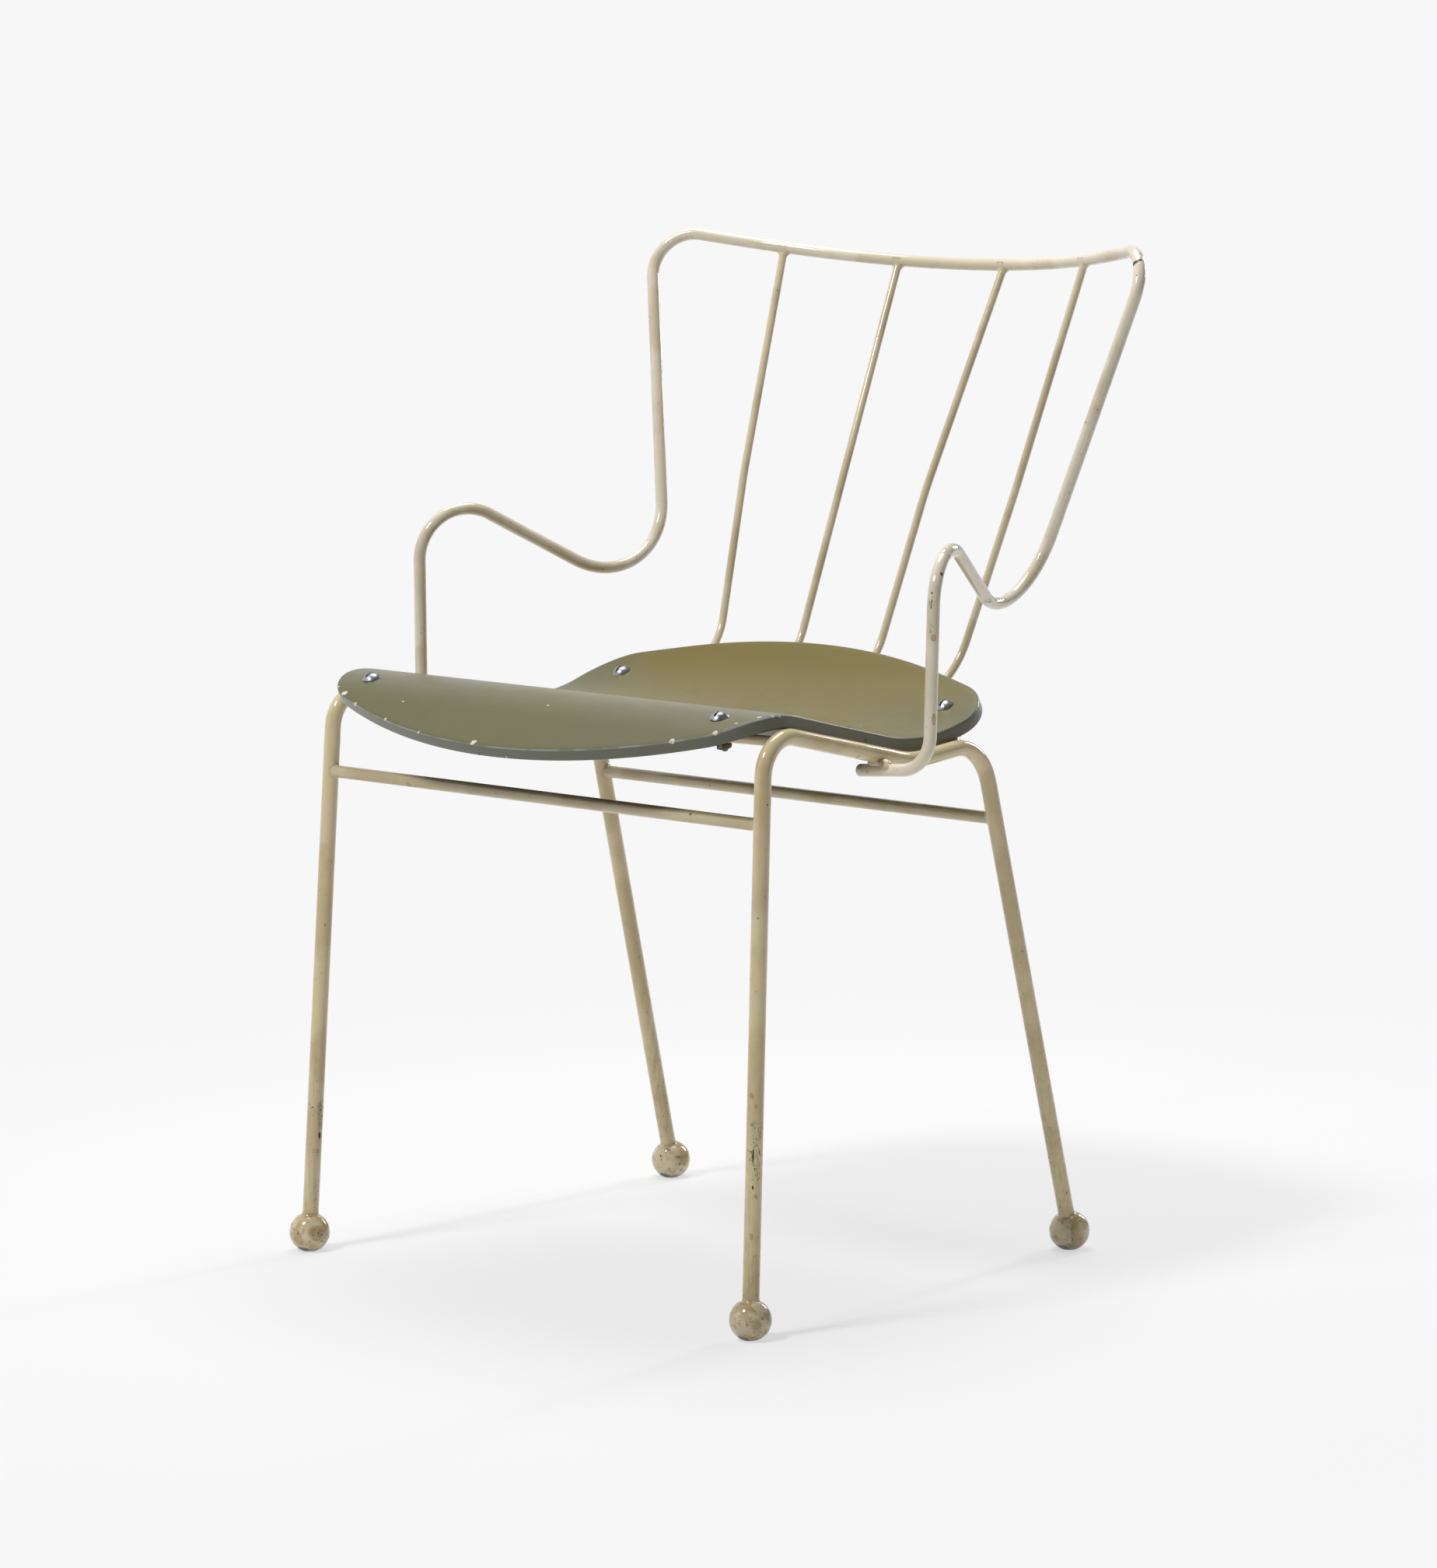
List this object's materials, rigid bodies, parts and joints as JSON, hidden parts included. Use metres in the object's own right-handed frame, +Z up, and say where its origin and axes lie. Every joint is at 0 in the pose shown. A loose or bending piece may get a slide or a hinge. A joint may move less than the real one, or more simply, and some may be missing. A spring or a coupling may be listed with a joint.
{
  "type": "garden armchair",
  "caption": "Armchair with a welded frame of bent steel rod on ball feet, open arms and a spindle back, and a bolted seat of moulded plywood with a rolled front edge.",
  "frame": {"origin": "on the floor, under the middle of the chair's bounding box", "axes": "+Z up; +X to the sitter's left; +Y to the back, so the sitter faces -Y; the chair is mirrored about X = 0"},
  "size_m": [0.5696, 0.5542, 0.7997],
  "materials": {
    "frame_enamel": "gloss cream enamel, worn",
    "foot_enamel": "gloss cream enamel, scuffed and stained",
    "seat_paint": "olive satin paint on moulded plywood, grey-green on the edge",
    "bolt_zinc": "bright zinc plate",
    "nut_steel": "dull zinc plate, rusting"
  },
  "bodies": {
    "root": {"side_frame_left": "frame_enamel", "spindle_outer_left": "frame_enamel", "spindle_inner_left": "frame_enamel", "ball_foot_front_left": "foot_enamel", "ball_foot_rear_left": "foot_enamel", "side_frame_right": "frame_enamel", "spindle_outer_right": "frame_enamel", "spindle_inner_right": "frame_enamel", "ball_foot_front_right": "foot_enamel", "ball_foot_rear_right": "foot_enamel", "arm_and_back_rod": "frame_enamel", "stretcher_front": "frame_enamel", "stretcher_rear": "frame_enamel", "seat_rail_front": "frame_enamel", "seat_rail_rear": "frame_enamel", "seat": "seat_paint", "seat_bolt_front_left": "bolt_zinc", "seat_nut_front_left": "nut_steel", "seat_bolt_front_right": "bolt_zinc", "seat_nut_front_right": "nut_steel", "seat_bolt_rear_left": "bolt_zinc", "seat_nut_rear_left": "nut_steel", "seat_bolt_rear_right": "bolt_zinc", "seat_nut_rear_right": "nut_steel"}
  },
  "joints": []
}
